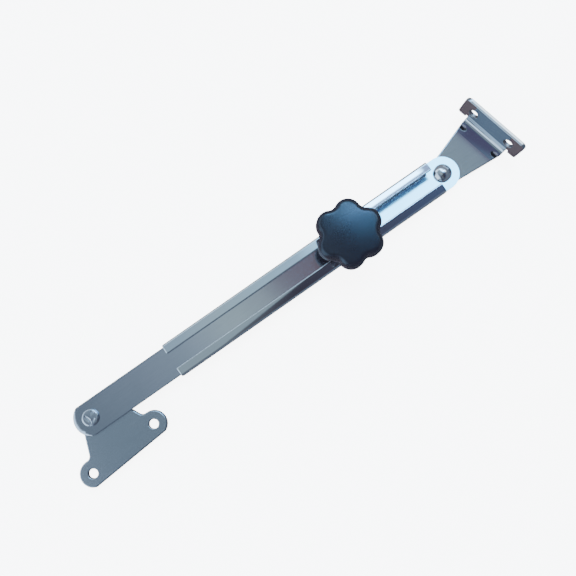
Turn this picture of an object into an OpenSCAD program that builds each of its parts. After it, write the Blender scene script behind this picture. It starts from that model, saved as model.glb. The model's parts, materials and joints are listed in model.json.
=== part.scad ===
// Telescopic hatch adjuster: a flat bar slides in a folded channel and a lobed knob clamps it.
// Row frame in millimetres: the lower pivot's axis is Z, the bar runs along +X,
// and Z = 0 is the back face of the lower plate.

/* [Lower plate] */
// Thickness of the lower plate
plate_t = 2.5; // [1.5:0.1:4]
// Distance between the two screw holes
plate_hole_pitch = 44; // [40:0.5:70]
// Diameter of the screw holes
plate_hole_d = 5.5; // [4:0.1:8]
// Depth of the broken edge round each screw hole
hole_edge = 0.5; // [0.2:0.1:0.8]
// Distance from the line of the holes up to the pivot
plate_pivot_rise = 25.5; // [22:0.1:34]
// Distance along the plate from the left hole to the pivot
plate_pivot_along = 19.1; // [16:0.1:24]
// Radius of the ears round the holes
ear_r = 7.9; // [6.5:0.1:9]
// Distance from the line of the holes down to the straight edge
plate_edge_drop = 7.4; // [5:0.1:8]
// Radius of the plate round its pivot
plate_top_r = 7; // [6:0.1:9]
// Radius of the fillets between the plate's sides and its ears
plate_fillet_r = 3; // [1:0.5:4]
// Turn of the plate from the bar in the resting pose, in degrees
plate_turn = 4.4; // [0:0.1:8]

/* [Slide bar] */
// Width of the flat bar
bar_w = 19; // [17:0.1:24]
// Thickness of the flat bar
bar_t = 2.5; // [1.5:0.1:4]
// Distance from the lower pivot to the clamp stud
bar_stud_x = 178.8; // [150:0.5:200]
// Length of bar beyond the clamp stud
bar_beyond = 12; // [8:0.5:20]
// Radius of the bar's rounded ends
bar_end_r = 10.4; // [10:0.1:14]
// Width of the broken edges along the bar
bar_edge = 0.4; // [0.35:0.05:0.7]
// Width of the coined band round the bar's end at the pivot
coin_w = 3.2; // [1:0.1:4]
// Drop of the coined band from its inner side to the rim
coin_drop = 0.45; // [0.2:0.05:0.7]

/* [Channel] */
// Thickness of the channel's sheet
channel_t = 1.2; // [0.8:0.1:1.6]
// Width of the slot between the lips
slot_w = 9.8; // [8:0.1:12]
// Outer radius of the channel's folds
fold_r = 1.5; // [1.3:0.1:2.2]
// Slope of the lips, up from their folds to the slot, in degrees
lip_slope = 6; // [0:0.5:9]
// Distance from the lower pivot to the open end of the channel
channel_start_x = 56; // [50:0.5:80]
// Distance between the two pivots in the resting pose
pivot_span = 250; // [235:1:300]
// Distance from the end of the lips to the upper pivot
lips_to_pivot = 6.3; // [6:0.1:9]
// Radius of the flat tongue round the upper pivot
tongue_r = 10.3; // [8.5:0.1:10.5]
// Room under the bar for the head of the stud
under_bar_room = 1.4; // [1.3:0.1:2.5]

/* [Upper bracket] */
// Thickness of the bracket's sheet
bracket_t = 2.5; // [1.5:0.1:4]
// Radius of the bracket round its pivot
bracket_top_r = 8.2; // [7:0.1:10]
// Distance from the upper pivot to the start of the bend
bend_x = 33.2; // [28:0.5:45]
// Inner radius of the bend
bend_r = 2.5; // [1.5:0.1:4]
// Width of the bend
bend_w = 30.4; // [26:0.5:38]
// Length of the standing flange
flange_w = 44; // [40:0.5:54]
// Height of the flange over the bracket's back
flange_h = 18.6; // [17:0.5:26]
// Height at which the flange's ears start over the bracket's back
flange_ear_h = 3.8; // [3:0.1:6]
// Corner radius at the top of the flange
flange_corner_r = 3; // [1:0.5:5]
// Corner radius at the bottom of the flange's ears
flange_foot_r = 1.5; // [0.5:0.5:3]
// Distance between the two holes in the flange
flange_hole_pitch = 26.4; // [22:0.5:32]
// Height of the holes over the bracket's back
flange_hole_h = 11.2; // [9.5:0.1:13]
// Diameter of the holes in the flange
flange_hole_d = 5.5; // [4:0.1:6]
// Sideways shift of the flange from the line of the upper pivot
flange_shift = -3; // [-4:0.1:0]
// Turn of the bracket from the bar in the resting pose, in degrees
bracket_turn = 12; // [0:0.5:30]

/* [Rivets and stud] */
// Diameter of the pivot rivets
rivet_d = 6; // [4:0.1:7]
// Diameter of the lower rivet's low head
low_head_d = 9.8; // [9:0.1:12]
// Height of the lower rivet's head
low_head_h = 1.3; // [0.8:0.1:2]
// Diameter of the lower rivet's flush tail
flush_tail_d = 9; // [8:0.1:11]
// Depth of the lower rivet's flush tail
flush_tail_h = 1.3; // [0.8:0.1:1.4]
// Diameter of the upper rivet's dome
dome_d = 10.9; // [9:0.1:12]
// Height of the upper rivet's dome
dome_h = 3.2; // [2:0.1:4.5]
// Diameter of the upper rivet's tail
tail_d = 9.6; // [8:0.1:12]
// Thickness of the upper rivet's tail
tail_h = 1; // [0.6:0.1:2]
// Diameter of the clamp stud
stud_d = 6; // [5:0.1:7]
// Diameter of the stud's head under the bar
stud_head_d = 11; // [9:0.1:12]
// Thickness of the stud's head
stud_head_h = 1.15; // [0.8:0.05:1.2]
// Distance from the stud's tip to the end of the knob's insert
stud_short = 0.6; // [0.3:0.1:2]

/* [Knob] */
// Radius at the tips of the knob's lobes
knob_tip_r = 19.7; // [19:0.1:24]
// Radius in the hollows between the lobes
knob_hollow_r = 16.6; // [15.5:0.1:17]
// Radius of each lobe's rounded end
lobe_r = 7.7; // [7:0.1:8.2]
// Number of lobes
lobe_count = 6; // [5:1:6]
// Height of the knob from its foot to its top
knob_h = 18; // [16:0.5:26]
// Height of the lobed head
head_h = 10; // [8:0.5:12]
// Rounding at the head's upper edge
head_round = 3; // [1.5:0.1:4]
// Rounding at the head's lower edge
head_low_round = 1.2; // [0.5:0.1:2]
// Rise of the crown in the middle of the head
crown_h = 0.9; // [0.3:0.1:2]
// Diameter of the hub at its foot
hub_d = 16.4; // [14:0.1:19]
// Diameter of the hub where it meets the head
hub_top_d = 19; // [16:0.1:22]
// Diameter of the threaded insert
insert_d = 10; // [8.5:0.1:12]
// Length of the threaded insert
insert_h = 11; // [8:0.5:13]
// Diameter of the clamp washer
washer_d = 18; // [16:0.1:19]
// Thickness of the clamp washer
washer_t = 1.2; // [0.8:0.1:2]

/* [Hidden] */
$fn = 72;

// Gap between faces that slide or turn on each other
face_gap = 0.05;
// Radial clearance of a turning piece on its rivet or stud
turn_gap = 0.08;
// Radial clearance of a piece that is fixed on its shank
seat_gap = 0.03;
// Clearance at each side of the bar in the channel
side_gap = 0.1;
// Radial clearance of the washer on the stud
washer_gap = 0.2;
// Distance of the coined band's circle from the corners of the bar's end
corner_gap = 0.3;
// Overlap of cutting tools past the faces that they cut
over = 1;
// Width of the relief notches between the bend and the flange's ears
relief_w = 1.2;
// Facets in each arc of an outline
arc_steps = 10;
// Facets in each curve of the knob's head
round_steps = 5;
lobe_steps = 8;
hollow_steps = 4;
crown_steps = 3;
// Share of the crown that its last ring keeps, as a flat spot in the middle
crown_flat = 0.15;

// Levels of the stacked pieces, from the back of the lower plate up
bar_z0 = plate_t + face_gap;
bar_z1 = bar_z0 + bar_t;
web_z1 = bar_z0 - under_bar_room;
web_z0 = web_z1 - channel_t;
lip_z0 = bar_z1 + face_gap;
bracket_z1 = web_z0 - face_gap;
bracket_z0 = bracket_z1 - bracket_t;
tail_z1 = bracket_z0 - face_gap;

// Channel section: the folds' centres, and the centre of each lip's round edge
channel_w = bar_w + 2 * side_gap + 2 * channel_t;
fold_y = channel_w / 2 - fold_r;
low_fold_z = web_z0 + fold_r;
top_fold_z = lip_z0 - (fold_r - channel_t) * cos(lip_slope);
mid_r = fold_r - channel_t / 2;
lip_edge_y = slot_w / 2 + channel_t / 2;
lip_edge_z = top_fold_z + mid_r * cos(lip_slope)
           + (fold_y + mid_r * sin(lip_slope) - lip_edge_y) * tan(lip_slope);
lip_z1 = lip_edge_z + channel_t / 2;
lips_end_x = pivot_span - lips_to_pivot;
// Levels of the clamp, from the lips up
washer_z0 = lip_z1 + face_gap;
washer_z1 = washer_z0 + washer_t;
knob_z0 = washer_z1 + face_gap;
knob_z1 = knob_z0 + knob_h;
head_z0 = knob_z1 - head_h;
insert_z1 = knob_z0 + insert_h;
stud_z1 = insert_z1 - stud_short;
// Circle where the coined band begins, through a point just off each corner of the bar's end
corner_x = -sqrt(bar_end_r * bar_end_r - bar_w * bar_w / 4);
coin_reach = bar_w / 2 + corner_gap;
coin_sag = bar_end_r - coin_w + corner_x;
coin_r = (coin_reach * coin_reach + coin_sag * coin_sag) / (2 * coin_sag);
coin_x = corner_x - coin_sag + coin_r;

// Places on the lower plate, from its pivot
left_hole = [-plate_pivot_along, -plate_pivot_rise];
right_hole = [plate_hole_pitch - plate_pivot_along, -plate_pivot_rise];
// Foot of each side on its ear, inboard of the hole and above it
left_foot = left_hole + [3.2, 7.1];
right_foot = right_hole + [-1.9, 7.6];
// Shoulder of the right side, inboard of the right hole and above it
shoulder = right_hole + [-5.4, 16.5];

// Bracket flange
flange_x0 = bend_x + bend_r;
bend_z = bracket_z1 + bend_r;

// Knob outline: lobes and hollows are tangent arcs
half_step = 180 / lobe_count;
lobe_at = knob_tip_r - lobe_r;
hollow_off = lobe_r - knob_hollow_r;
hollow_at = (lobe_at * lobe_at - hollow_off * hollow_off)
          / (2 * (hollow_off + lobe_at * cos(half_step)));
hollow_arc_r = hollow_at - knob_hollow_r;
tangent_angle = atan2(hollow_at * sin(half_step), hollow_at * cos(half_step) - lobe_at);

function polar(r, angle) = [r * cos(angle), r * sin(angle)];
function unit(v) = v / norm(v);
function left_of(v) = [-v[1], v[0]];
function heading(v) = atan2(v[1], v[0]);

// Points on an arc that takes the shorter way from one angle to another
function arc(centre, r, from, to) =
    let (sweep = ((to - from) % 360 + 540) % 360 - 180)
    [for (i = [0 : arc_steps]) centre + polar(r, from + sweep * i / arc_steps)];

// Centre of the concave fillet between a straight side of the lower plate and an ear:
// from is a point on the side, run its direction towards the ear, out is 1 or -1 for the
// side's outer hand
function fillet_centre(from, run, out, ear) =
    let (start = from + out * left_of(run) * plate_fillet_r - ear,
         reach = ear_r + plate_fillet_r,
         along = -start * run - sqrt(pow(start * run, 2) - start * start + reach * reach))
    start + ear + run * along;

// Point where the tangent from point p touches a circle of radius r round the origin;
// side is 1 for the tangent point anticlockwise of p and -1 for the other
function touch(p, r, side) =
    let (away = atan2(p[1], p[0]), open = acos(r / norm(p)))
    polar(r, away + side * open);

// Outline of the lobed head, inset everywhere by the same amount
function head_outline(inset) = [
    for (lobe = [0 : lobe_count - 1])
        let (turn = 2 * half_step * lobe)
        each concat(
            [for (i = [0 : lobe_steps])
                let (angle = turn + tangent_angle * (2 * i / lobe_steps - 1))
                polar(lobe_at, turn) + polar(lobe_r - inset, angle)],
            [for (i = [1 : hollow_steps - 1])
                let (sweep = 2 * (half_step - tangent_angle) * i / hollow_steps)
                polar(hollow_at, turn + half_step)
                + polar(hollow_arc_r + inset, turn + 180 + tangent_angle + sweep)])
];

// Rings of the head from its foot to its crown, as lists of 3D points
function at_height(outline, z) = [for (p = outline) [p[0], p[1], z]];
function head_rings() = concat(
    [for (i = [0 : round_steps])
        let (angle = 90 * i / round_steps)
        at_height(head_outline(head_low_round * (1 - sin(angle))),
                  head_z0 + head_low_round * (1 - cos(angle)))],
    [for (i = [0 : round_steps])
        let (angle = 90 * i / round_steps)
        at_height(head_outline(head_round * (1 - cos(angle))),
                  knob_z1 - crown_h - head_round * (1 - sin(angle)))],
    [for (i = [1 : crown_steps])
        let (keep = 1 - (1 - crown_flat) * i / crown_steps)
        at_height(head_outline(head_round) * keep,
                  knob_z1 - crown_h + crown_h * (1 - keep * keep) / (1 - crown_flat * crown_flat))]
);

module disc(r, z0, z1) {
    translate([0, 0, z0]) cylinder(r = r, h = z1 - z0);
}

// Slab between two heights with the outline of its children
module slab(z0, z1) {
    translate([0, 0, z0]) linear_extrude(height = z1 - z0) children();
}

// Rectangle on the plane with rounded corners of one radius, centred
module round_rect(w, h, r) {
    square([w - 2 * r, h], center = true);
    square([w, h - 2 * r], center = true);
    for (sx = [-1, 1], sy = [-1, 1])
        translate([sx * (w / 2 - r), sy * (h / 2 - r)]) circle(r = r);
}

// Low round cap of a rivet, standing on z0
module cap(r, h, z0) {
    ball_r = (r * r + h * h) / (2 * h);
    intersection() {
        disc(r, z0, z0 + h);
        translate([0, 0, z0 + h - ball_r]) sphere(r = ball_r);
    }
}

// Hole with a broken edge at its top face, cut along Z
module screw_hole(d, z0, z1) {
    disc(d / 2, z0 - over, z1 + over);
    translate([0, 0, z1 - hole_edge])
        cylinder(r1 = d / 2, r2 = d / 2 + hole_edge + over, h = hole_edge + over);
}

module lower_plate_outline() {
    left_touch = touch(left_foot, plate_top_r, -1);
    right_touch = touch(shoulder, plate_top_r, 1);
    left_centre = fillet_centre(left_foot, unit(left_foot - left_touch), -1, left_hole);
    right_centre = fillet_centre(right_foot, unit(right_foot - shoulder), 1, right_hole);
    left_inward = left_of(left_foot - left_touch);
    right_inward = -left_of(right_foot - shoulder);
    corner = asin(plate_edge_drop / ear_r);
    polygon(concat(
        arc([0, 0], plate_top_r, heading(right_touch), heading(left_touch)),
        arc(left_centre, plate_fillet_r, heading(left_inward), heading(left_hole - left_centre)),
        arc(left_hole, ear_r, heading(left_centre - left_hole), 180),
        arc(left_hole, ear_r, 180, 180 + corner),
        arc(right_hole, ear_r, -corner, heading(right_centre - right_hole)),
        arc(right_centre, plate_fillet_r, heading(right_hole - right_centre), heading(right_inward)),
        [shoulder]
    ));
}

module lower_plate() {
    color("lightsteelblue")
    rotate(plate_turn)
    difference() {
        slab(0, plate_t) lower_plate_outline();
        for (hole = [left_hole, right_hole])
            translate(hole) screw_hole(plate_hole_d, 0, plate_t);
        disc(rivet_d / 2 + seat_gap, -over, plate_t + over);
        flush_tail(seat_gap);
    }
}

// Countersunk tail of the lower rivet, grown by a clearance where it is cut from the plate
module flush_tail(gap) {
    translate([0, 0, -gap])
        cylinder(r1 = flush_tail_d / 2 + gap, r2 = rivet_d / 2 + gap, h = flush_tail_h + gap);
}

module lower_rivet() {
    color("gainsboro") {
        flush_tail(0);
        disc(rivet_d / 2, 0, bar_z1 + face_gap + low_head_h / 2);
        cap(low_head_d / 2, low_head_h, bar_z1 + face_gap);
    }
}

// Section across the bar with broken edges: Y to the left and Z up
module bar_section() {
    half_w = bar_w / 2;
    polygon([
        [half_w, bar_z0 + bar_edge], [half_w, bar_z1 - bar_edge],
        [half_w - bar_edge, bar_z1], [bar_edge - half_w, bar_z1],
        [-half_w, bar_z1 - bar_edge], [-half_w, bar_z0 + bar_edge],
        [bar_edge - half_w, bar_z0], [half_w - bar_edge, bar_z0]
    ]);
}

// Round end at the pivot, coined down in a band on its outer side
module pivot_end() {
    slope = coin_drop / coin_w;
    intersection() {
        slab(bar_z0 - over, bar_z1 + over)
            intersection() {
                circle(r = bar_end_r);
                translate([-2 * bar_end_r, -bar_w]) square([2 * bar_end_r + over, 2 * bar_w]);
            }
        translate([coin_x, 0, bar_z0 - 2 * over])
            cylinder(r1 = coin_r + (bar_t + 2 * over) / slope, r2 = coin_r - over / slope,
                     h = bar_t + 3 * over);
    }
}

module slide_bar() {
    end_x = bar_stud_x + bar_beyond - bar_end_r;
    color("slategray")
    difference() {
        intersection() {
            union() {
                pivot_end();
                slab(bar_z0 - over, bar_z1 + over) {
                    translate([0, -bar_w]) square([end_x, 2 * bar_w]);
                    translate([end_x, 0]) circle(r = bar_end_r);
                }
            }
            translate([-2 * bar_end_r, 0, 0])
                rotate([90, 0, 90]) linear_extrude(height = end_x + 4 * bar_end_r) bar_section();
        }
        disc(rivet_d / 2 + turn_gap, bar_z0 - over, bar_z1 + over);
        translate([bar_stud_x, 0]) disc(stud_d / 2 + seat_gap, bar_z0 - over, bar_z1 + over);
    }
}

module clamp_stud() {
    tip = 0.8;
    color("silver")
    translate([bar_stud_x, 0]) {
        disc(stud_head_d / 2, bar_z0 - stud_head_h, bar_z0);
        disc(stud_d / 2, bar_z0 - stud_head_h, stud_z1 - tip);
        translate([0, 0, stud_z1 - tip]) cylinder(r1 = stud_d / 2, r2 = stud_d / 2 - tip, h = tip);
    }
}

// Half of the folded section across the channel, from the web's middle over the outside
// to the lip and back along the inside: Y to the left and Z up
function half_section() = concat(
    [[0, web_z0]],
    arc([fold_y, low_fold_z], fold_r, -90, 0),
    arc([fold_y, top_fold_z], fold_r, 0, 90 - lip_slope),
    arc([lip_edge_y, lip_edge_z], channel_t / 2, 90 - lip_slope, 180 - lip_slope),
    arc([lip_edge_y, lip_edge_z], channel_t / 2, 180 - lip_slope, 270 - lip_slope),
    arc([fold_y, top_fold_z], fold_r - channel_t, 90 - lip_slope, 0),
    arc([fold_y, low_fold_z], fold_r - channel_t, 0, -90),
    [[0, web_z1]]
);

module channel_section() {
    half = half_section();
    count = len(half);
    polygon(concat(half, [for (i = [count - 2 : -1 : 1]) [-half[i][0], half[i][1]]]));
}

module channel() {
    color("powderblue")
    difference() {
        union() {
            translate([channel_start_x, 0, 0])
                rotate([90, 0, 90]) linear_extrude(height = lips_end_x - channel_start_x)
                    channel_section();
            slab(web_z0, web_z1) {
                translate([lips_end_x - over, -tongue_r]) square([lips_to_pivot + over, 2 * tongue_r]);
                translate([pivot_span, 0]) circle(r = tongue_r);
            }
        }
        translate([pivot_span, 0]) disc(rivet_d / 2 + seat_gap, web_z0 - over, web_z1 + over);
    }
}

module upper_rivet() {
    color("gainsboro")
    translate([pivot_span, 0]) {
        cap(dome_d / 2, dome_h, web_z1);
        disc(rivet_d / 2, tail_z1 - tail_h / 2, web_z1 + dome_h / 2);
        translate([0, 0, 2 * tail_z1 - tail_h]) mirror([0, 0, 1]) cap(tail_d / 2, tail_h, tail_z1 - tail_h);
    }
}

// Standing flange seen from the pivot: its ears start beside the bend, past a relief notch
module flange_outline() {
    ear_z = bracket_z0 + flange_ear_h;
    notch_z = bend_z + relief_w / 2;
    top_z = bracket_z0 + flange_h;
    half = concat(
        [[bend_w / 2, bend_z], [bend_w / 2, notch_z]],
        [[bend_w / 2 + relief_w, notch_z], [bend_w / 2 + relief_w, ear_z]],
        arc([flange_w / 2 - flange_foot_r, ear_z + flange_foot_r], flange_foot_r, -90, 0),
        arc([flange_w / 2 - flange_corner_r, top_z - flange_corner_r], flange_corner_r, 0, 90)
    );
    polygon(concat(half, [for (i = [len(half) - 1 : -1 : 0]) [-half[i][0], half[i][1]]]));
}

// Quarter ring of the bend, seen from its side
module bend_section() {
    translate([bend_x, bend_z])
        intersection() {
            difference() {
                circle(r = bend_r + bracket_t);
                circle(r = bend_r);
            }
            translate([0, -bend_r - bracket_t]) square(bend_r + bracket_t);
        }
}

module upper_bracket() {
    bend_y = [flange_shift - bend_w / 2, flange_shift + bend_w / 2];
    right = [bend_x, bend_y[0]];
    left = [bend_x, bend_y[1]];
    color("lightslategray")
    translate([pivot_span, 0]) rotate(bracket_turn)
    difference() {
        union() {
            slab(bracket_z0, bracket_z1)
                polygon(concat(
                    arc([0, 0], bracket_top_r, heading(touch(left, bracket_top_r, 1)),
                        heading(touch(right, bracket_top_r, -1))),
                    [right, left]));
            translate([0, bend_y[1], 0]) rotate([90, 0, 0])
                linear_extrude(height = bend_w) bend_section();
            translate([flange_x0, flange_shift, 0]) rotate([90, 0, 90])
                linear_extrude(height = bracket_t) flange_outline();
        }
        disc(rivet_d / 2 + turn_gap, bracket_z0 - over, bracket_z1 + over);
        for (side = [-1, 1])
            translate([flange_x0 - over, flange_shift + side * flange_hole_pitch / 2,
                       bracket_z0 + flange_hole_h])
                rotate([0, 90, 0]) cylinder(r = flange_hole_d / 2, h = bracket_t + 2 * over);
    }
}

module clamp_washer() {
    color("silver")
    translate([bar_stud_x, 0])
    difference() {
        disc(washer_d / 2, washer_z0, washer_z1);
        disc(stud_d / 2 + washer_gap, washer_z0 - over, washer_z1 + over);
    }
}

// Lobed head as one smooth shell through its rings
module knob_head() {
    rings = head_rings();
    count = len(rings);
    size = len(rings[0]);
    polyhedron(
        points = [for (ring = rings) each ring],
        faces = concat(
            [[for (i = [0 : size - 1]) i]],
            [for (k = [0 : count - 2], i = [0 : size - 1])
                let (next = (i + 1) % size)
                [k * size + i, (k + 1) * size + i, (k + 1) * size + next, k * size + next]],
            [[for (i = [size - 1 : -1 : 0]) (count - 1) * size + i]]),
        convexity = 4);
}

module clamp_knob() {
    color([0.10, 0.13, 0.18])
    translate([bar_stud_x, 0])
    difference() {
        union() {
            knob_head();
            translate([0, 0, knob_z0])
                cylinder(r1 = hub_d / 2, r2 = hub_top_d / 2, h = head_z0 + head_low_round - knob_z0);
        }
        disc(insert_d / 2 + seat_gap, knob_z0 - over, insert_z1 + seat_gap);
    }
}

module knob_insert() {
    color("goldenrod")
    translate([bar_stud_x, 0])
    difference() {
        disc(insert_d / 2, knob_z0, insert_z1);
        disc(stud_d / 2 + turn_gap, knob_z0 - over, insert_z1 + over);
    }
}

lower_plate();
lower_rivet();
slide_bar();
clamp_stud();
channel();
upper_rivet();
upper_bracket();
clamp_washer();
clamp_knob();
knob_insert();
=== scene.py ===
"""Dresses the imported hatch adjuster: edges, turned pieces, knob, materials, floor and light."""
import json
import math

import bpy
from mathutils import Matrix, Vector

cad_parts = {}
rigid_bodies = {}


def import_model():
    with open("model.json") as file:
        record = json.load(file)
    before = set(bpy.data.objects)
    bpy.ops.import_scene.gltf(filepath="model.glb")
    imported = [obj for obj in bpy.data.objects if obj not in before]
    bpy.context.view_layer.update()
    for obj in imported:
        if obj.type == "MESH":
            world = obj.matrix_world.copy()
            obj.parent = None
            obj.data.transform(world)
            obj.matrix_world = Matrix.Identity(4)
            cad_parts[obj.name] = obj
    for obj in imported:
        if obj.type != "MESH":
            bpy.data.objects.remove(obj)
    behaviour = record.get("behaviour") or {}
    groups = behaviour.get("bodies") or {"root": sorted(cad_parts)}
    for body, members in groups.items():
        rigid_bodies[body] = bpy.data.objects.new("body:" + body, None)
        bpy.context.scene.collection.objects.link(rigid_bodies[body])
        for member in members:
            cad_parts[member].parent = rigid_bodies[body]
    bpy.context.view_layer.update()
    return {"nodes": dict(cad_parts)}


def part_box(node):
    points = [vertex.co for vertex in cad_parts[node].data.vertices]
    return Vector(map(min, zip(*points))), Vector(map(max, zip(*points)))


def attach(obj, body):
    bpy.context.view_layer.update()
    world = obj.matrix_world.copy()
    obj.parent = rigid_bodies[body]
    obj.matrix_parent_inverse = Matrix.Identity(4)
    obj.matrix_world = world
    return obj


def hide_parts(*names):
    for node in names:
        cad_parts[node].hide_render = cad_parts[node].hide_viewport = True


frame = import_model()

bl_info = {
    "name": "Hatch adjuster dresser",
    "version": (1, 0, 0),
    "blender": (4, 5, 0),
    "location": "View3D > Sidebar > Adjuster",
    "description": "Builds the dressed model of a telescopic hatch adjuster round its CAD frame",
    "category": "Object",
}

MM = 0.001
# Places that the CAD nodes give: the middles of the pivots and of the stud.
LOWER_PIVOT = sum(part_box("lower_rivet"), Vector()) / 2
UPPER_PIVOT = sum(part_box("upper_rivet"), Vector()) / 2
STUD = sum(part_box("clamp_stud"), Vector()) / 2
# Two bores each: the first one's centre, the last one's centre and the way they run.
PLATE_HOLES = (Vector((-17.09, -26.89, 1.25)) * MM, Vector((26.78, -23.51, 1.25)) * MM,
               Vector((0, 0, 1)))
FLANGE_HOLES = (Vector((284.02, 17.66, 8.6)) * MM, Vector((289.51, -8.16, 8.6)) * MM,
                Vector((0.97815, 0.20791, 0)))
# The painted shade of a bore's wall reaches a little past the wall itself.
WALL_RADIUS, WALL_FADE = 2.95 * MM, 0.15 * MM
# Bore walls are painted darker as shade, and made duller.
BORE_SHADE_TINT, WALL_DULLNESS = (0.36, 0.33, 0.34, 1), 0.4
# Thickness of the channel's sheet
SHEET = 1.2 * MM
# Points nearer than this are one point, angles nearer than this are one angle, and faces that
# turn by less are one flat face.
SAME_PLACE, SAME_ANGLE = 1e-6, 1e-4
SAME_FLAT = math.radians(0.6)

# Turned pieces. A cap ends in a tiny flat, this share of its radius.
CAP_FLAT = 0.02
STUD_TURN, INSERT_TURN = 0.5 * MM, 1.0 * MM
DOME_RADIUS, DOME_SKIRT = 5.45 * MM, 0.9 * MM
HEAD_RISE = 1.3 * MM
# Punch marks in the lower rivet's head: X, Y, length and width in millimetres, turn in degrees
PEENS = ((-1.4, 0.4, 4.4, 1.2, 111), (-1.6, -3.0, 2.2, 0.8, 22), (0.9, -2.1, 2.4, 0.9, 24),
         (3.0, 2.0, 2.0, 0.9, 128))

# Knob: lobes, points of its outline and the top's inner rings as shares of the outline. The
# top face is level and has more points than any small face.
LOBES = 6
LEVEL, MANY_POINTS = 0.99, 20
OUTLINE_POINTS = 240
TOP_RINGS = (1, 0.92, 0.83, 0.73, 0.62, 0.5, 0.38, 0.26, 0.14, 0.02)

# Floor, camera and lights, in metres
FLOOR_SIZE, FLOOR_MIDDLE, FLOOR_GAP = 3.0, 0.13, 0.15 * MM
CAMERA_PLACE = Vector((115.9, -27.5, 293.6)) * MM
CAMERA_AIM = Vector((127.9, -4.6, 0)) * MM
CAMERA_TOP = Vector((0.572, 0.816, 0.087))
CAMERA_SHIFT = 0.015
LIGHT_AIM = Vector((0.12, 0, 0))
# Name, place, size, share of the key light's power and colour
LIGHTS = (("key", (0.45, 0.36, 0.95), 0.6, 1.0, (0.92, 0.97, 1.0)),
          ("fill", (-0.5, -0.6, 0.8), 0.9, 0.6, (1.0, 0.98, 0.96)))

# The sky's strips. Each stop is a run along U and the colour there. The middle strip slants,
# which keeps the bracket's purple band along its bend.
SKY_FROM, SKY_TO = -0.9, 0.8
LEAST_RISE = 0.02
SLANT, SLANT_SHIFT = 0.21, -0.025
MIDDLE_STRIP = (
    (-0.80, (1.6, 2.3, 3.0)), (-0.70, (1.3, 1.9, 2.5)), (-0.60, (0.32, 0.38, 0.44)),
    (-0.45, (0.22, 0.28, 0.35)), (-0.25, (0.36, 0.45, 0.55)), (-0.16, (0.47, 0.59, 0.71)),
    (-0.08, (0.62, 0.77, 0.82)), (0.005, (0.56, 0.69, 0.74)), (0.055, (0.29, 0.26, 0.32)),
    (0.13, (0.27, 0.20, 0.24)), (0.20, (0.15, 0.09, 0.12)), (0.26, (0.8, 1.9, 2.8)),
    (0.29, (1.5, 5.0, 8.0)), (0.495, (1.5, 5.0, 8.0)), (0.50, (0.46, 0.60, 0.70)),
    (0.580, (0.44, 0.55, 0.68)), (0.588, (0.24, 0.20, 0.34)), (0.606, (0.26, 0.23, 0.36)),
    (0.616, (0.9, 1.1, 1.3)), (0.65, (3.6, 4.2, 4.6)))
UPPER_STRIP = (
    (-0.80, (1.6, 2.3, 3.0)), (-0.70, (1.2, 1.7, 2.2)), (-0.55, (0.45, 0.56, 0.68)),
    (-0.20, (0.38, 0.51, 0.65)), (-0.08, (0.44, 0.58, 0.68)), (0.12, (0.46, 0.70, 0.92)),
    (0.20, (0.8, 1.5, 2.1)), (0.30, (4.0, 8.0, 12.0)), (0.48, (4.0, 8.0, 12.0)),
    (0.60, (1.2, 1.8, 2.2)))
LOWER_STRIP = (
    (-0.80, (1.5, 2.1, 2.7)), (-0.70, (1.1, 1.5, 1.9)), (-0.58, (0.08, 0.08, 0.12)),
    (-0.36, (0.08, 0.08, 0.12)), (-0.30, (0.21, 0.23, 0.27)), (-0.10, (0.15, 0.16, 0.19)),
    (0.08, (0.06, 0.055, 0.08)), (0.25, (0.07, 0.07, 0.11)),
    (0.45, (0.09, 0.12, 0.22)), (0.60, (0.20, 0.20, 0.24)))
# Patches on the strips: colour, then where it starts, is full, is last full and ends in U and V
MIDDLE_PATCHES = (
    ((0.05, 0.10, 0.27), (0.24, 0.27, 0.426, 0.430), (0.0985, 0.1005, 0.9, 1)),
    ((0.22, 0.32, 0.50), (0.22, 0.28, 0.485, 0.494), (-1, -0.9, 0.040, 0.056)))
UPPER_PATCHES = (
    ((0.45, 0.62, 1.0), (0.25, 0.28, 0.9, 1), (0.29, 0.31, 0.340, 0.344)),
    ((0.45, 0.62, 1.0), (0.44, 0.455, 0.47, 0.475), (0.29, 0.31, 0.9, 1)))
LOWER_PATCHES = (
    ((0.50, 0.64, 0.84), (-0.68, -0.64, -0.44, -0.40), (-0.28, -0.24, 0.9, 1)),
    ((0.32, 0.27, 0.46), (-0.68, -0.64, -0.585, -0.575), (-0.28, -0.24, 0.9, 1)))
CEILING_PATCH = ((7.0, 14.0, 24.0), (0.28, 0.36, 0.70, 0.80), (0.19, 0.22, 0.285, 0.30))
RING_STOPS = ((0.0, (0.07, 0.08, 0.13)), (0.35, (0.28, 0.34, 0.44)),
              (0.65, (1.3, 1.6, 1.9)), (1.0, (2.4, 3.0, 3.6)))
RING_LEAN = (0.35, 0.85, 0.0)
# The lower lip is light at the bar's end, and a dark wedge with this fall grows in from its edge.
LIP_LIGHT = (0.34, 0.43, 0.50, 1)
WEDGE_FALL, WEDGE_FROM, WEDGE_TO = -0.128, -0.1407, -0.1437
# Horizon from -Y to +Y, ground from -X to +X, and the light low on the -X side
HORIZON = ((0.20, 0.24, 0.31, 1), (0.34, 0.38, 0.45, 1))
GROUND = ((0.26, 0.21, 0.24, 1), (0.07, 0.07, 0.10, 1))
WEST_LIGHT = (1.7, 2.2, 2.7, 1)


# Mesh helpers
def deselect_all():
    """Nothing stays selected before an operator acts on a selection."""
    if bpy.context.object and bpy.context.object.mode != "OBJECT":
        bpy.ops.object.mode_set(mode="OBJECT")
    for obj in bpy.context.view_layer.objects:
        obj.select_set(False)


def take(obj):
    """Makes obj the only selected object."""
    deselect_all()
    obj.select_set(True)
    bpy.context.view_layer.objects.active = obj


def edit(obj, parts="VERT"):
    take(obj)
    bpy.ops.object.mode_set(mode="EDIT")
    bpy.ops.mesh.select_mode(type=parts)


def leave_edit():
    bpy.ops.object.mode_set(mode="OBJECT")


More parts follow.
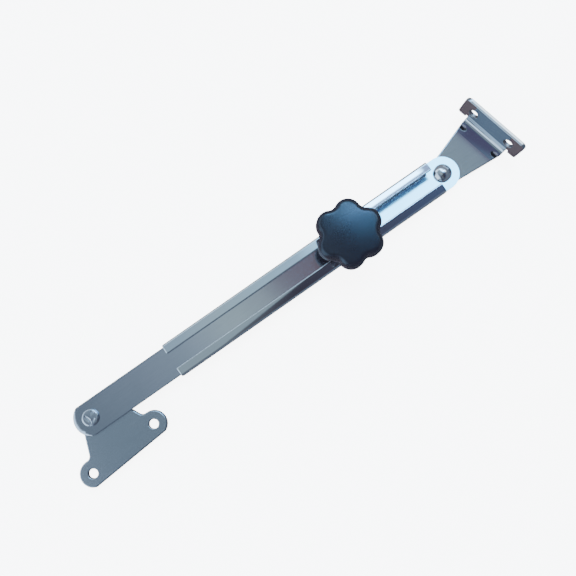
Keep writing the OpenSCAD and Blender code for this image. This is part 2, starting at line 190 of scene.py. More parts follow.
def pick_verts(obj, wanted):
    """Selects the vertices for which wanted(place) holds; obj is in edit mode."""
    bpy.ops.mesh.select_mode(type="VERT")
    bpy.ops.mesh.select_all(action="DESELECT")
    bpy.ops.object.mode_set(mode="OBJECT")
    for vert in obj.data.vertices:
        vert.select = bool(wanted(vert.co))
    bpy.ops.object.mode_set(mode="EDIT")


def pick_edges(obj, wanted):
    """Selects the edges for which wanted(start, end) holds; obj is in edit mode."""
    bpy.ops.mesh.select_mode(type="EDGE")
    bpy.ops.mesh.select_all(action="DESELECT")
    bpy.ops.object.mode_set(mode="OBJECT")
    verts = obj.data.vertices
    for edge in obj.data.edges:
        start, end = edge.vertices
        edge.select = bool(wanted(verts[start].co, verts[end].co))
    bpy.ops.object.mode_set(mode="EDIT")


def apply_modifiers(obj):
    take(obj)
    for modifier in list(obj.modifiers):
        bpy.ops.object.modifier_apply(modifier=modifier.name)


def close_up(obj):
    """Merges doubles and turns every face outwards."""
    edit(obj)
    bpy.ops.mesh.select_all(action="SELECT")
    bpy.ops.mesh.remove_doubles(threshold=SAME_PLACE)
    bpy.ops.mesh.normals_make_consistent(inside=False)
    leave_edit()


def settle(obj):
    """Puts the object's place into its mesh."""
    take(obj)
    bpy.ops.object.transform_apply(location=True, rotation=True, scale=True)


def smooth(obj, degrees, flats):
    """Smooth shading; with flats the wide flat faces stay flat up to their rounded edges."""
    take(obj)
    bpy.ops.object.shade_smooth_by_angle(angle=math.radians(degrees))
    if not flats:
        return
    weigh = obj.modifiers.new("flat_faces", "WEIGHTED_NORMAL")
    weigh.mode = "FACE_AREA"
    weigh.weight = 100
    weigh.keep_sharp = True
    apply_modifiers(obj)


def finish_piece(obj, body, node, material, degrees=32, flats=False):
    """Finish, smoothing, body and replaced node of one piece."""
    obj.data.materials.clear()
    obj.data.materials.append(material)
    smooth(obj, degrees, flats)
    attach(obj, body)
    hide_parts(node)


def copy_of_node(node, name):
    """A copy of a CAD node with its loose triangles merged into flat faces."""
    obj = bpy.data.objects.new(name, frame["nodes"][node].data.copy())
    bpy.context.scene.collection.objects.link(obj)
    close_up(obj)
    edit(obj)
    bpy.ops.mesh.select_all(action="SELECT")
    bpy.ops.mesh.dissolve_limited(angle_limit=SAME_FLAT)
    leave_edit()
    return obj


def round_edges(obj, width, segments=3, angle=34, clamp=True):
    """Breaks the sharp edges with a bevel."""
    bevel = obj.modifiers.new("broken_edges", "BEVEL")
    bevel.width = width
    bevel.segments = segments
    bevel.limit_method = "ANGLE"
    bevel.angle_limit = math.radians(angle)
    bevel.use_clamp_overlap = clamp
    bevel.miter_outer = "MITER_ARC"
    apply_modifiers(obj)


def turned(name, centre, rings, sides=64, open_bore=False):
    """A turned piece: a circle is drawn up and resized through rings of (radius, height).
    With open_bore the last ring meets the first, so the piece is a closed ring."""
    radius, height = rings[0]
    deselect_all()
    bpy.ops.mesh.primitive_circle_add(
        vertices=sides, radius=radius, fill_type="NOTHING" if open_bore else "NGON",
        location=(centre[0], centre[1], height))
    obj = bpy.context.object
    obj.name = obj.data.name = name
    settle(obj)
    edit(obj, "EDGE" if open_bore else "FACE")
    bpy.ops.mesh.select_all(action="SELECT")
    for new_radius, new_height in rings[1:]:
        bpy.ops.mesh.extrude_region_move(
            TRANSFORM_OT_translate={"value": (0, 0, new_height - height)})
        scale = new_radius / radius
        bpy.ops.transform.resize(
            value=(scale, scale, 1), center_override=(centre[0], centre[1], new_height))
        radius, height = new_radius, new_height
    leave_edit()
    close_up(obj)
    return obj


def rings_from(base, *pairs):
    """Rings at base, from pairs of a radius and a height over base in millimetres."""
    return [(radius * MM, base + height * MM) for radius, height in pairs]


def cap_rings(radius, height, z0, steps=10):
    """Rings of a low round cap that stands on z0, from its rim up."""
    ball = (radius ** 2 + height ** 2) / (2 * height)
    open_angle = math.asin(radius / ball)
    rings = [(radius, z0)]
    for step in range(1, steps):
        angle = open_angle * (1 - step / steps)
        rings.append((ball * math.sin(angle), z0 + height - ball * (1 - math.cos(angle))))
    rings.append((radius * CAP_FLAT, z0 + height))
    return rings


def cut(obj, cutter, operation="DIFFERENCE"):
    """Cuts or joins two closed pieces, and drops the second."""
    boolean = obj.modifiers.new("joined", "BOOLEAN")
    boolean.operation = operation
    boolean.solver = "EXACT"
    boolean.object = cutter
    apply_modifiers(obj)
    bpy.data.objects.remove(cutter)


# Material helpers
class Nodes:
    """A short way to lay nodes into a tree."""

    def __init__(self, tree):
        self.tree = tree
        tree.nodes.clear()

    def add(self, kind, **settings):
        node = self.tree.nodes.new(kind)
        inputs = settings.pop("inputs", {})
        for key, value in settings.items():
            setattr(node, key, value)
        for key, value in inputs.items():
            self.set(node, key, value)
        return node

    def set(self, node, key, value):
        if isinstance(value, bpy.types.NodeSocket):
            self.tree.links.new(value, node.inputs[key])
        else:
            node.inputs[key].default_value = value

    def calc(self, operation, *values):
        node = self.add("ShaderNodeMath", operation=operation, inputs=dict(enumerate(values)))
        return node.outputs[0]

    def ramp(self, value, *stops):
        node = self.add("ShaderNodeValToRGB", inputs={"Fac": value})
        elements = node.color_ramp.elements
        elements.remove(elements[1])
        elements[0].position, elements[0].color = stops[0][0], (*stops[0][1], 1)
        for place, colour in stops[1:]:
            elements.new(place).color = (*colour, 1)
        return node.outputs["Color"]

    def spread(self, value, low, high, to_low, to_high):
        return self.add("ShaderNodeMapRange", inputs={
            "Value": value, "From Min": low, "From Max": high,
            "To Min": to_low, "To Max": to_high}).outputs["Result"]

    def noise(self, vector, scale, detail=4.0, roughness=0.55, stretch=(1, 1, 1), turn=0.0):
        placed = self.add("ShaderNodeMapping", inputs={
            "Vector": vector, "Scale": stretch, "Rotation": (0, 0, turn)})
        node = self.add("ShaderNodeTexNoise", inputs={
            "Vector": placed.outputs["Vector"], "Scale": scale,
            "Detail": detail, "Roughness": roughness})
        return node.outputs["Fac"]

    def surface(self, inputs):
        """The material's one shader and its output."""
        shader = self.add("ShaderNodeBsdfPrincipled", inputs=inputs)
        self.add("ShaderNodeOutputMaterial", inputs={"Surface": shader.outputs[0]})

    def mix(self, factor, first, second):
        node = self.add("ShaderNodeMix", data_type="RGBA")
        self.set(node, 0, factor)
        self.set(node, 6, first)
        self.set(node, 7, second)
        return node.outputs[2]


def new_material(name):
    material = bpy.data.materials.new(name)
    material.use_nodes = True
    return material, Nodes(material.node_tree)


def within_bores(lay, place, bores):
    """1 at the walls of either of two bores, fading to 0 just outside."""
    first, last, axis = bores
    across = (last - first).normalized()
    turn = Matrix((axis, across, axis.cross(across))).transposed().to_euler()
    local = lay.add("ShaderNodeMapping", vector_type="TEXTURE", inputs={
        "Vector": place, "Location": (first + last) / 2, "Rotation": turn}).outputs["Vector"]
    parts = lay.add("ShaderNodeSeparateXYZ", inputs={"Vector": local}).outputs
    off = lay.calc("SUBTRACT", lay.calc("ABSOLUTE", parts["Y"]), (last - first).length / 2)
    offset = lay.add("ShaderNodeCombineXYZ", inputs={"X": off, "Y": parts["Z"]}).outputs[0]
    gap = lay.add("ShaderNodeVectorMath", operation="LENGTH", inputs={0: offset}).outputs["Value"]
    return lay.spread(gap, WALL_RADIUS, WALL_RADIUS + WALL_FADE, 1, 0)


def steel(name, tint, shade, roughness, haze, grain_turn=0.0, grain=0.00002, lean=0.0, bores=None):
    """Stainless steel: drawn grain along the piece, hazy patches and fine scratches. With lean
    the level faces mirror as if they fell off a little along X, as a pressed plate does. The
    walls of bores get painted shade: their colour is darkened, and they are made duller."""
    material, lay = new_material(name)
    place = lay.add("ShaderNodeTexCoord").outputs["Object"]
    drawn = lay.noise(place, 60, 3, 0.6, (1, 46, 46), grain_turn)
    patches = lay.noise(place, 26, 4, 0.6)
    fine = lay.noise(place, 900, 3, 0.7)
    scratches = lay.ramp(
        lay.noise(place, 130, 2, 0.5, (0.5, 9, 9), grain_turn + 0.35),
        (0.60, (0, 0, 0)), (0.68, (1, 1, 1)))
    colour = lay.mix(lay.spread(patches, 0.35, 0.68, 0, 1), (*tint, 1), (*shade, 1))
    colour = lay.mix(
        lay.spread(drawn, 0.3, 0.7, 0, 0.30), colour, tuple(c * 0.80 for c in shade) + (1,))
    rough = lay.calc("ADD", lay.spread(patches, 0.3, 0.7, roughness, roughness + haze),
                     lay.spread(drawn, 0.3, 0.7, 0, haze * 0.5))
    rough = lay.calc("MULTIPLY_ADD", scratches, haze * 0.35, rough)
    if bores:
        # Painted shade: the walls of the bores are darkened and made duller.
        wall = within_bores(lay, place, bores)
        colour = lay.mix(wall, colour, BORE_SHADE_TINT)
        rough = lay.calc("MULTIPLY_ADD", wall, WALL_DULLNESS, rough)
    height = lay.mix(0.35, drawn, fine)
    bump = lay.add("ShaderNodeBump", inputs={
        "Strength": 0.25, "Distance": grain, "Height": height})
    if lean:
        along = lay.add("ShaderNodeSeparateXYZ", inputs={"Vector": place}).outputs["X"]
        tilt = lay.add("ShaderNodeBump", inputs={
            "Strength": 1.0, "Distance": 1.0, "Height": lay.calc("MULTIPLY", along, -lean)})
        lay.set(bump, "Normal", tilt.outputs["Normal"])
    lay.surface({"Base Color": colour, "Metallic": 1.0, "Roughness": rough,
                 "Normal": bump.outputs["Normal"]})
    return material


def black_plastic(name, tint, shade, roughness):
    """Moulded knob plastic: fine spark grain and faint flow clouds."""
    material, lay = new_material(name)
    place = lay.add("ShaderNodeTexCoord").outputs["Object"]
    clouds = lay.noise(place, 55, 5, 0.6)
    grain = lay.noise(place, 2600, 2, 0.5)
    specks = lay.ramp(lay.noise(place, 700, 1, 0.4), (0.66, (0, 0, 0)), (0.74, (1, 1, 1)))
    colour = lay.mix(lay.spread(clouds, 0.35, 0.7, 0, 1), (*shade, 1), (*tint, 1))
    colour = lay.mix(lay.spread(grain, 0.35, 0.65, 0, 0.35), colour, (*tint, 1))
    rough = lay.calc("MULTIPLY_ADD", specks, 0.03,
                     lay.spread(clouds, 0.3, 0.7, roughness - 0.015, roughness + 0.02))
    bump = lay.add("ShaderNodeBump", inputs={
        "Strength": 0.25, "Distance": 0.00002, "Height": grain})
    lay.surface({"Base Color": colour, "Roughness": rough, "IOR": 1.58,
                 "Specular IOR Level": 0.42, "Specular Tint": (0.62, 0.83, 1.0, 1),
                 "Normal": bump.outputs["Normal"]})
    return material


def brass(name):
    """Turned brass of the threaded insert, dulled in patches."""
    material, lay = new_material(name)
    place = lay.add("ShaderNodeTexCoord").outputs["Object"]
    patches = lay.noise(place, 220, 4, 0.6)
    colour = lay.mix(lay.spread(patches, 0.35, 0.7, 0, 1),
                     (0.72, 0.52, 0.22, 1), (0.45, 0.30, 0.13, 1))
    bump = lay.add("ShaderNodeBump", inputs={
        "Strength": 0.3, "Distance": 0.00004, "Height": lay.noise(place, 1500, 2, 0.5)})
    lay.surface({"Base Color": colour, "Metallic": 1.0,
                 "Roughness": lay.spread(patches, 0.3, 0.7, 0.25, 0.42),
                 "Normal": bump.outputs["Normal"]})
    return material


# Settings
def mm_prop(name, description, default):
    return bpy.props.FloatProperty(
        name=name, description=description, default=default * MM, subtype="DISTANCE", unit="LENGTH")


def colour_prop(name, description, default):
    return bpy.props.FloatVectorProperty(
        name=name, description=description, default=default, size=3, min=0, max=1, subtype="COLOR")


class ADJUSTER_PG_sizes(bpy.types.PropertyGroup):
    plate_edge: mm_prop("Plate edge", "Width of the broken edges of the plates", 0.8)
    bracket_edge: mm_prop("Bracket edge", "Width of the broken edges of the bracket", 0.5)
    bar_edge: mm_prop("Bar edge", "Width of the rounding along the bar", 0.4)
    sheet_edge: mm_prop("Sheet edge", "Most that the channel's other edges are rounded", 0.4)
    lip_end: mm_prop("Lip end", "Width of the rounding at the channel's open end", 0.5)
    lobe_tip: mm_prop("Lobe tip", "Radius at the tips of the knob's lobes", 19.7)
    lobe_hollow: mm_prop("Lobe hollow", "Radius in the hollows between the lobes", 16.6)
    lobe_round: mm_prop("Lobe radius", "Radius of each lobe's rounded end", 7.7)
    head_height: mm_prop("Head height", "Height of the lobed head", 10)
    head_top_round: mm_prop("Top rounding", "Rounding at the head's upper edge", 3)
    head_low_round: mm_prop("Low rounding", "Rounding at the head's lower edge", 1.2)
    crown: mm_prop("Crown", "Rise in the middle of the head", 0.9)


class ADJUSTER_PG_finish(bpy.types.PropertyGroup):
    plate_tint: colour_prop("Plate", "Steel of the lower plate", (0.50, 0.55, 0.61))
    bar_tint: colour_prop("Bar", "Steel of the flat bar", (0.55, 0.59, 0.66))
    # The channel's steel is painted lighter than the same steel of the other parts, as a painted
    # highlight of its bright reflections.
    channel_lit_tint: colour_prop("Channel", "Steel of the folded channel", (0.80, 0.88, 0.93))
    bracket_tint: colour_prop("Bracket", "Steel of the upper bracket", (0.50, 0.55, 0.60))
    rivet_tint: colour_prop("Rivets", "Steel of the rivets, stud and washer", (0.66, 0.71, 0.77))
    knob_tint: colour_prop("Knob", "Plastic of the knob", (0.014, 0.012, 0.018))
    mirror: bpy.props.FloatProperty(
        name="Polish", description="Roughness of the polished channel", default=0.02, min=0, max=1,
        subtype="FACTOR")
    satin: bpy.props.FloatProperty(
        name="Satin", description="Roughness of the satin plates", default=0.17, min=0, max=1,
        subtype="FACTOR")


class ADJUSTER_PG_stage(bpy.types.PropertyGroup):
    lens: bpy.props.FloatProperty(
        name="Lens", description="Focal length of the camera in millimetres", default=31.25,
        min=10, max=200)
    floor_tint: colour_prop("Floor", "Colour of the pale floor", (0.93, 0.93, 0.93))
    floor_glow: bpy.props.FloatProperty(
        name="Floor glow", description="Light that the floor gives, as a light table does",
        default=7.0, min=0, max=20)
    key_power: bpy.props.FloatProperty(
        name="Key light", description="Power of the main soft light", default=7.0, min=0, max=200,
        unit="POWER")


def shaded(tint, share=0.82):
    return tuple(c * share for c in tint)


# Operators
class ADJUSTER_OT_lower_plate(bpy.types.Operator):
    """Dress the lower plate with its two screw holes"""
    bl_idname = "adjuster.lower_plate"
    bl_label = "Lower plate"

    def execute(self, context):
        sizes, finish = context.scene.adjuster_sizes, context.scene.adjuster_finish
        obj = copy_of_node("lower_plate", "side_plate")
        round_edges(obj, sizes.plate_edge, 4, 60, clamp=False)
        tint = finish.plate_tint
        finish_piece(obj, "plate", "lower_plate",
                     steel("plate_steel", tint, shaded(tint), finish.satin, 0.06, 0.9,
                           bores=PLATE_HOLES), flats=True)
        return {"FINISHED"}


class ADJUSTER_OT_slide_bar(bpy.types.Operator):
    """Dress the flat bar that slides in the channel"""
    bl_idname = "adjuster.slide_bar"
    bl_label = "Slide bar"

    def execute(self, context):
        sizes, finish = context.scene.adjuster_sizes, context.scene.adjuster_finish
        obj = copy_of_node("slide_bar", "flat_bar")
        round_edges(obj, sizes.bar_edge, 3, 60, clamp=False)
        tint = finish.bar_tint
        finish_piece(obj, "bar", "slide_bar",
                     steel("bar_steel", tint, shaded(tint, 0.9), 0.10, 0.03), flats=True)
        return {"FINISHED"}


class ADJUSTER_OT_channel(bpy.types.Operator):
    """Dress the folded channel and its tongue"""
    bl_idname = "adjuster.channel"
    bl_label = "Channel"

    def execute(self, context):
        sizes, finish = context.scene.adjuster_sizes, context.scene.adjuster_finish
        obj = copy_of_node("channel", "folded_channel")
        open_end = min(vert.co.x for vert in obj.data.vertices) + 0.01 * MM
        edit(obj)
        pick_edges(obj, lambda start, end: max(start.x, end.x) < open_end)
        bpy.ops.mesh.bevel(offset=sizes.lip_end, segments=3, affect="EDGES", clamp_overlap=False)
        leave_edit()
        # The fold's short edges keep this rounding far narrower than it asks for.
        round_edges(obj, sizes.sheet_edge, 3, 60)
        # Painted highlight: the channel's lighter steel colour.
        tint = finish.channel_lit_tint
        finish_piece(obj, "channel", "channel",
                     steel("channel_steel", tint, shaded(tint, 0.94), finish.mirror, 0.01,
                           grain=0.000002), 40, flats=True)
        return {"FINISHED"}


class ADJUSTER_OT_upper_bracket(bpy.types.Operator):
    """Dress the bent bracket with its standing flange"""
    bl_idname = "adjuster.upper_bracket"
    bl_label = "Upper bracket"

    def execute(self, context):
        sizes, finish = context.scene.adjuster_sizes, context.scene.adjuster_finish
        obj = copy_of_node("upper_bracket", "bent_bracket")
        round_edges(obj, sizes.bracket_edge, 4, 40, clamp=False)
        tint = finish.bracket_tint
        finish_piece(obj, "bracket", "upper_bracket",
                     steel("bracket_steel", tint, shaded(tint, 0.9), 0.03, 0.01, 0.2, 0.000002,
                           lean=0.018, bores=FLANGE_HOLES), 40, flats=True)
        return {"FINISHED"}


class ADJUSTER_OT_rivets(bpy.types.Operator):
    """Turn the two pivot rivets: a low peened head and a dome"""
    bl_idname = "adjuster.rivets"
    bl_label = "Pivot rivets"

    def execute(self, context):
        finish = context.scene.adjuster_finish
        tint = finish.bar_tint
        self.low_rivet(steel("peened_steel", tint, shaded(tint, 0.85), 0.13, 0.04))
        tint = finish.rivet_tint
        self.dome_rivet(steel("rivet_steel", tint, shaded(tint, 0.85), 0.10, 0.04, grain=0.00001))
        return {"FINISHED"}

    def low_rivet(self, material):
        low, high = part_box("lower_rivet")
        rings = rings_from(low.z, (4.5, 0), (3.0, 1.3))
        rings += rings_from(high.z - HEAD_RISE, (3.0, 0), (4.9, 0), (4.9, 0.75), (4.8, 1.0),
                            (4.6, 1.15), (4.2, 1.23), (3.7, 1.27))
        rings.append((0.1 * MM, high.z))
        obj = turned("lower_pivot_rivet", LOWER_PIVOT, rings, 72)
        for x, y, length, width, turn in PEENS:
            self.peen(obj, (x * MM, y * MM, high.z), (length * MM, width * MM), math.radians(turn))
        round_edges(obj, 0.08 * MM, 2, 30)
        finish_piece(obj, "plate", "lower_rivet", material, 40)

    def peen(self, obj, place, size, turn):
        """Presses one long punch mark into the head."""
        deselect_all()
        bpy.ops.mesh.primitive_cube_add(size=1, location=(
            LOWER_PIVOT.x + place[0], LOWER_PIVOT.y + place[1], place[2]))
        mark = bpy.context.object
        mark.scale = (*size, 0.9 * MM)
        mark.rotation_euler = (0, 0, turn)
        settle(mark)
        round_edges(mark, 0.3 * MM, 3)
        cut(obj, mark)

    def dome_rivet(self, material):
        low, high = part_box("upper_rivet")
        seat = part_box("channel")[0].z + SHEET
        rings = rings_from(low.z, (0.1, 0), (3.2, 0.12), (4.4, 0.45), (4.8, 1.0), (3.0, 1.0))
        rings += [(3.0 * MM, seat), (DOME_RADIUS, seat)]
        rings += cap_rings(DOME_RADIUS, high.z - seat - DOME_SKIRT, seat + DOME_SKIRT)
        obj = turned("upper_pivot_rivet", UPPER_PIVOT, rings, 72)
        round_edges(obj, 0.1 * MM, 2, 40)
        finish_piece(obj, "channel", "upper_rivet", material, 40)


class ADJUSTER_OT_clamp(bpy.types.Operator):
    """Turn the clamp stud with its thread, and the washer"""
    bl_idname = "adjuster.clamp"
    bl_label = "Clamp stud and washer"

    def execute(self, context):
        tint = context.scene.adjuster_finish.rivet_tint
        material = steel("clamp_steel", tint, shaded(tint, 0.7), 0.2, 0.1, grain=0.00003)
        low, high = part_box("clamp_stud")
        head = low.z + 1.15 * MM
        rings = rings_from(low.z, (5.2, 0), (5.5, 0.25))
        rings += rings_from(head, (5.5, 0), (2.95, 0), (2.95, 2.6))
        height = head + 2.6 * MM
        while height < high.z - 1.5 * MM:
            rings += [(2.65 * MM, height + STUD_TURN / 2), (2.98 * MM, height + STUD_TURN)]
            height += STUD_TURN
        rings += [(2.6 * MM, height + 0.3 * MM), (2.1 * MM, high.z)]
        stud = turned("clamp_bolt", STUD, rings, 48)
        finish_piece(stud, "bar", "clamp_stud", material)
        low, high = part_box("clamp_washer")
        rings = rings_from(low.z, (3.2, 0.1), (3.3, 0), (8.75, 0), (9.0, 0.25))
        rings += rings_from(high.z, (9.0, -0.25), (8.75, 0), (3.3, 0), (3.2, -0.1))
        rings.append(rings[0])
        washer = turned("knob_washer", STUD, rings, 72, open_bore=True)
        finish_piece(washer, "washer", "clamp_washer",
                     steel("zinc_washer", (0.80, 0.84, 0.88), (0.66, 0.70, 0.75), 0.42, 0.1))
        return {"FINISHED"}


class ADJUSTER_OT_knob(bpy.types.Operator):
    """Model the six-lobed clamp knob"""
    bl_idname = "adjuster.knob"
    bl_label = "Clamp knob"

    @staticmethod
    def from_lobe(angle):
        """Angle to the middle of the nearest lobe."""
        half = math.pi / LOBES
        return abs((angle + half) % (2 * half) - half)

    def lobed_radius(self, angle):
        """Radius of the outline at an angle: tangent arcs of lobes and hollows."""
        sizes = bpy.context.scene.adjuster_sizes
        half = math.pi / LOBES
        lobe_at = sizes.lobe_tip - sizes.lobe_round
        off = sizes.lobe_round - sizes.lobe_hollow
        hollow_at = (lobe_at ** 2 - off ** 2) / (2 * (off + lobe_at * math.cos(half)))
        hollow_round = hollow_at - sizes.lobe_hollow
        angle = self.from_lobe(angle)
        tangent = math.atan2(hollow_at * math.sin(half), hollow_at * math.cos(half) - lobe_at)
        meet_x = lobe_at + sizes.lobe_round * math.cos(tangent)
        meet_y = sizes.lobe_round * math.sin(tangent)
        if angle <= math.atan2(meet_y, meet_x):
            across = lobe_at * math.sin(angle)
            return lobe_at * math.cos(angle) + math.sqrt(sizes.lobe_round ** 2 - across ** 2)
        across = hollow_at * math.sin(half - angle)
        return hollow_at * math.cos(half - angle) - math.sqrt(hollow_round ** 2 - across ** 2)

    def execute(self, context):
        sizes, finish = context.scene.adjuster_sizes, context.scene.adjuster_finish
        low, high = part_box("clamp_knob")
        foot = high.z - sizes.head_height
        deselect_all()
        bpy.ops.mesh.primitive_circle_add(
            vertices=OUTLINE_POINTS, radius=sizes.lobe_tip, fill_type="NGON",
            location=(STUD.x, STUD.y, foot))
        head = bpy.context.object
        head.name = head.data.name = "lobed_knob"
        settle(head)
        edit(head)
        self.draw_in_hollows(head, sizes)
        bpy.ops.mesh.select_mode(type="FACE")
        bpy.ops.mesh.select_all(action="SELECT")
        edge_z = high.z - sizes.crown
        bpy.ops.mesh.extrude_region_move(TRANSFORM_OT_translate={"value": (0, 0, edge_z - foot)})
        leave_edit()
        close_up(head)
        edit(head)
        pick_edges(head, lambda a, b: min(a.z, b.z) > edge_z - SAME_PLACE)
        bpy.ops.mesh.bevel(offset=sizes.head_top_round, segments=8)
        pick_edges(head, lambda a, b: max(a.z, b.z) < foot + SAME_PLACE)
        bpy.ops.mesh.bevel(offset=sizes.head_low_round, segments=4)
        self.raise_crown(head, sizes, edge_z)
        leave_edit()
        rings = rings_from(low.z, (7.9, 0), (8.2, 0.4))
        rings += rings_from(foot, (9.4, -0.6), (10.2, 0.6), (10.2, 2.0))
        cut(head, turned("knob_hub", STUD, rings, 96), "UNION")
        cut(head, turned("bore", STUD, rings_from(low.z, (5.04, -1), (5.04, 11.04)), 96))
        close_up(head)
        tint = finish.knob_tint
        finish_piece(head, "knob", "clamp_knob",
                     black_plastic("knob_plastic", tint, shaded(tint, 0.75), 0.23), 40)
        return {"FINISHED"}

    def draw_in_hollows(self, head, sizes):
        """Pulls the circle's points in to the lobed outline, one set of like points at a time."""
        def angle_at(co):
            return math.atan2(co.y - STUD.y, co.x - STUD.x)

        kinds = {}
        for vert in head.data.vertices:
            angle = angle_at(vert.co)
            kinds.setdefault(round(self.from_lobe(angle), 5), angle)
        for kind, angle in kinds.items():
            pick_verts(head, lambda co: abs(self.from_lobe(angle_at(co)) - kind) < SAME_ANGLE)
            scale = self.lobed_radius(angle) / sizes.lobe_tip
            bpy.ops.transform.resize(value=(scale, scale, 1), center_override=(STUD.x, STUD.y, 0))

    def raise_crown(self, head, sizes, edge_z):
        """Fills the flat top with smaller and smaller rings, then lifts the top into one dome."""
        bpy.ops.mesh.select_mode(type="FACE")
        bpy.ops.mesh.select_all(action="DESELECT")
        leave_edit()
        for face in head.data.polygons:
            face.select = face.normal.z > LEVEL and len(face.vertices) > MANY_POINTS
        bpy.ops.object.mode_set(mode="EDIT")
        for before, after in zip(TOP_RINGS, TOP_RINGS[1:]):
            bpy.ops.mesh.inset(thickness=0)
            scale = after / before
            bpy.ops.transform.resize(
                value=(scale, scale, 1), center_override=(STUD.x, STUD.y, edge_z))
        leave_edit()
        reach = sizes.lobe_tip - 0.5 * sizes.head_top_round
        for vert in head.data.vertices:
            share = (vert.co.z - (edge_z - sizes.head_top_round)) / sizes.head_top_round
            if share > 0:
                away = min(1, math.hypot(vert.co.x - STUD.x, vert.co.y - STUD.y) / reach)
                vert.co.z += sizes.crown * (1 - away ** 2) * min(1, share) ** 2
        bpy.ops.object.mode_set(mode="EDIT")


class ADJUSTER_OT_insert(bpy.types.Operator):
    """Turn the threaded insert of the knob, with its waist"""
    bl_idname = "adjuster.insert"
    bl_label = "Threaded insert"

    def execute(self, context):
        low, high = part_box("knob_insert")
        rings = rings_from(low.z, (3.1, 0.3), (3.4, 0), (4.6, 0), (4.9, 0.3), (4.9, 3), (4.5, 3.4),
                           (4.5, 4.2), (4.9, 4.6))
        rings += rings_from(high.z, (4.9, -0.4), (4.5, 0), (3.3, 0))
        height = high.z - 0.5 * MM
        while height > low.z + 1.4 * MM:
            rings += [(3.1 * MM, height), (3.28 * MM, height - INSERT_TURN / 2)]
            height -= INSERT_TURN
        rings.append(rings[0])
        obj = turned("threaded_insert", STUD, rings, 48, open_bore=True)
        finish_piece(obj, "knob", "knob_insert", brass("insert_brass"))
        return {"FINISHED"}


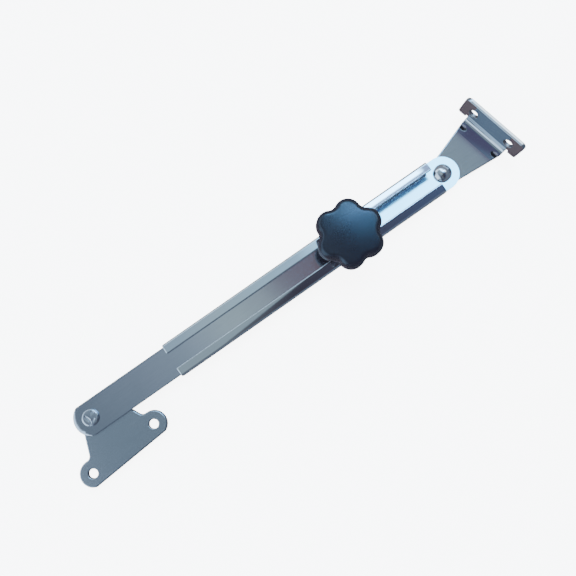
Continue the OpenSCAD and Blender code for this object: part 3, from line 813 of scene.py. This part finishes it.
class ADJUSTER_OT_stage(bpy.types.Operator):
    """Lay the floor, the sky, the lights and the camera"""
    bl_idname = "adjuster.stage"
    bl_label = "Floor, light and camera"

    def execute(self, context):
        stage = context.scene.adjuster_stage
        self.floor(stage)
        self.sky(context)
        self.lights(stage)
        self.camera(context, stage)
        return {"FINISHED"}

    def floor(self, stage):
        """Pale level floor just under the upper rivet's tail, the lowest point at every pose."""
        tail_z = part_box("upper_rivet")[0].z
        deselect_all()
        bpy.ops.mesh.primitive_grid_add(x_subdivisions=8, y_subdivisions=8, size=FLOOR_SIZE)
        obj = bpy.context.object
        obj.name = obj.data.name = "floor"
        obj.matrix_world = Matrix.Translation((FLOOR_MIDDLE, 0, tail_z - FLOOR_GAP))
        settle(obj)
        material, lay = new_material("floor_paint")
        place = lay.add("ShaderNodeTexCoord").outputs["Object"]
        speckle = lay.noise(place, 300, 4, 0.6)
        tint = stage.floor_tint
        colour = lay.mix(lay.spread(speckle, 0.3, 0.7, 0, 1), (*tint, 1), (*shaded(tint, 0.985), 1))
        lay.surface({"Base Color": colour, "Roughness": 0.7, "Specular IOR Level": 0.2,
                     "Emission Color": (1, 1, 1, 1), "Emission Strength": stage.floor_glow})
        obj.data.materials.append(material)
        obj.visible_glossy = False

    def sky(self, context):
        """Soft studio surround. The ceiling is laid out on a level sheet: U runs along the bar
        and V across it, both as run over rise, so a level face shows one small patch of it."""
        world = bpy.data.worlds.new("studio")
        context.scene.world = world
        world.use_nodes = True
        lay = Nodes(world.node_tree)
        place = lay.add("ShaderNodeTexCoord").outputs["Generated"]
        x, y, z = lay.add("ShaderNodeSeparateXYZ", inputs={"Vector": place}).outputs
        rise = lay.calc("MAXIMUM", z, LEAST_RISE)
        run_u, run_v = lay.calc("DIVIDE", x, rise), lay.calc("DIVIDE", y, rise)
        slant = lay.calc("MULTIPLY_ADD", run_v, SLANT, lay.calc("ADD", run_u, SLANT_SHIFT))

        def window(value, start, full, last, end):
            """1 between full and last, fading to 0 at start and at end."""
            return lay.calc("MULTIPLY", lay.spread(value, start, full, 0, 1),
                            lay.spread(value, last, end, 1, 0))

        def strip(run, stops, patches):
            spread = lay.spread(run, SKY_FROM, SKY_TO, 0, 1)
            colour = lay.ramp(spread, *[
                ((u - SKY_FROM) / (SKY_TO - SKY_FROM), tint) for u, tint in stops])
            return patched(colour, patches)

        def patched(colour, patches):
            for tint, in_u, in_v in patches:
                share = lay.calc("MULTIPLY", window(run_u, *in_u), window(run_v, *in_v))
                colour = lay.mix(share, colour, (*tint, 1))
            return colour

        middle = strip(slant, MIDDLE_STRIP, MIDDLE_PATCHES)
        upper = strip(run_u, UPPER_STRIP, UPPER_PATCHES)
        lower = strip(run_u, LOWER_STRIP, ())
        wedge = lay.calc("MULTIPLY_ADD", run_u, WEDGE_FALL, run_v)
        dark = lay.calc("MAXIMUM", lay.spread(wedge, WEDGE_FROM, WEDGE_TO, 0, 1),
                        lay.spread(run_u, -0.30, -0.32, 0, 1))
        lower = patched(lay.mix(dark, LIP_LIGHT, lower), LOWER_PATCHES)
        ceiling = lay.mix(lay.spread(run_v, 0.16, 0.27, 0, 1), middle, upper)
        ceiling = patched(ceiling, (CEILING_PATCH,))
        ceiling = lay.mix(lay.spread(run_v, -0.03, -0.12, 0, 1), ceiling, lower)
        # Round the ceiling runs a ring, brighter towards +Y, and below it the horizon.
        lean = lay.add("ShaderNodeVectorMath", operation="DOT_PRODUCT", inputs={
            0: place, 1: RING_LEAN}).outputs["Value"]
        ring = lay.ramp(lay.spread(lean, -0.8, 0.8, 0, 1), *RING_STOPS)
        colour = lay.mix(lay.spread(z, 0.60, 0.78, 0, 1), ring, ceiling)
        horizon = lay.mix(lay.spread(y, -0.25, 0.25, 0, 1), *HORIZON)
        low = lay.calc("MULTIPLY_ADD", x, -0.25, z)
        colour = lay.mix(lay.spread(low, 0.60, 0.50, 0, 1), colour, horizon)
        # A light low on the -X side shines in the rounded open end of the channel.
        west = lay.calc("MULTIPLY", window(x, -1.2, -1.1, -0.62, -0.53),
                        lay.spread(lay.calc("ABSOLUTE", y), 0.28, 0.40, 1, 0))
        west = lay.calc("MULTIPLY", west, lay.spread(z, -0.05, 0.05, 0, 1))
        colour = lay.mix(west, colour, WEST_LIGHT)
        ground = lay.mix(lay.spread(x, -0.49, -0.44, 0, 1), *GROUND)
        colour = lay.mix(lay.spread(z, -0.1, -0.5, 0, 1), colour, ground)
        shader = lay.add("ShaderNodeBackground", inputs={"Color": colour, "Strength": 1.0})
        lay.add("ShaderNodeOutputWorld", inputs={"Surface": shader.outputs[0]})

    def lights(self, stage):
        for name, place, size, share, tint in LIGHTS:
            data = bpy.data.lights.new(name, "AREA")
            data.shape = "SQUARE"
            data.size = size
            data.energy = stage.key_power * share
            data.color = tint
            obj = bpy.data.objects.new(name, data)
            bpy.context.scene.collection.objects.link(obj)
            obj.location = place
            obj.rotation_euler = (LIGHT_AIM - Vector(place)).to_track_quat("-Z", "Y").to_euler()
            obj.visible_glossy = False

    def camera(self, context, stage):
        data = bpy.data.cameras.new("photo_view")
        data.lens = stage.lens
        data.sensor_width = 36
        data.shift_x = data.shift_y = CAMERA_SHIFT
        data.clip_start = 0.01
        data.clip_end = 20
        obj = bpy.data.objects.new("photo_view", data)
        context.scene.collection.objects.link(obj)
        ahead = (CAMERA_AIM - CAMERA_PLACE).normalized()
        right = ahead.cross(CAMERA_TOP).normalized()
        up = right.cross(ahead)
        turn = Matrix((right, up, -ahead)).transposed().to_4x4()
        obj.matrix_world = Matrix.Translation(CAMERA_PLACE) @ turn
        context.scene.camera = obj


class ADJUSTER_PT_panel(bpy.types.Panel):
    """Lists the steps in their order, and the settings"""
    bl_idname = "ADJUSTER_PT_panel"
    bl_label = "Hatch adjuster"
    bl_space_type = "VIEW_3D"
    bl_region_type = "UI"
    bl_category = "Adjuster"

    def draw(self, context):
        for operator in PIECES:
            self.layout.operator(operator.bl_idname)
        for group in (context.scene.adjuster_sizes, context.scene.adjuster_finish,
                      context.scene.adjuster_stage):
            box = self.layout.box()
            for key in group.bl_rna.properties.keys():
                if key not in ("rna_type", "name"):
                    box.prop(group, key)


GROUPS = {"adjuster_sizes": ADJUSTER_PG_sizes, "adjuster_finish": ADJUSTER_PG_finish,
          "adjuster_stage": ADJUSTER_PG_stage}
PIECES = (ADJUSTER_OT_lower_plate, ADJUSTER_OT_slide_bar, ADJUSTER_OT_channel,
          ADJUSTER_OT_upper_bracket, ADJUSTER_OT_rivets, ADJUSTER_OT_clamp, ADJUSTER_OT_knob,
          ADJUSTER_OT_insert, ADJUSTER_OT_stage)


def register():
    for cls in (*GROUPS.values(), *PIECES, ADJUSTER_PT_panel):
        bpy.utils.register_class(cls)
    for name, group in GROUPS.items():
        setattr(bpy.types.Scene, name, bpy.props.PointerProperty(type=group))


def unregister():
    for name in GROUPS:
        delattr(bpy.types.Scene, name)
    for cls in (ADJUSTER_PT_panel, *reversed(PIECES), *reversed(list(GROUPS.values()))):
        bpy.utils.unregister_class(cls)


def main():
    register()
    for operator in PIECES:
        getattr(bpy.ops.adjuster, operator.bl_idname.split(".")[1])()


if __name__ == "__main__":
    main()
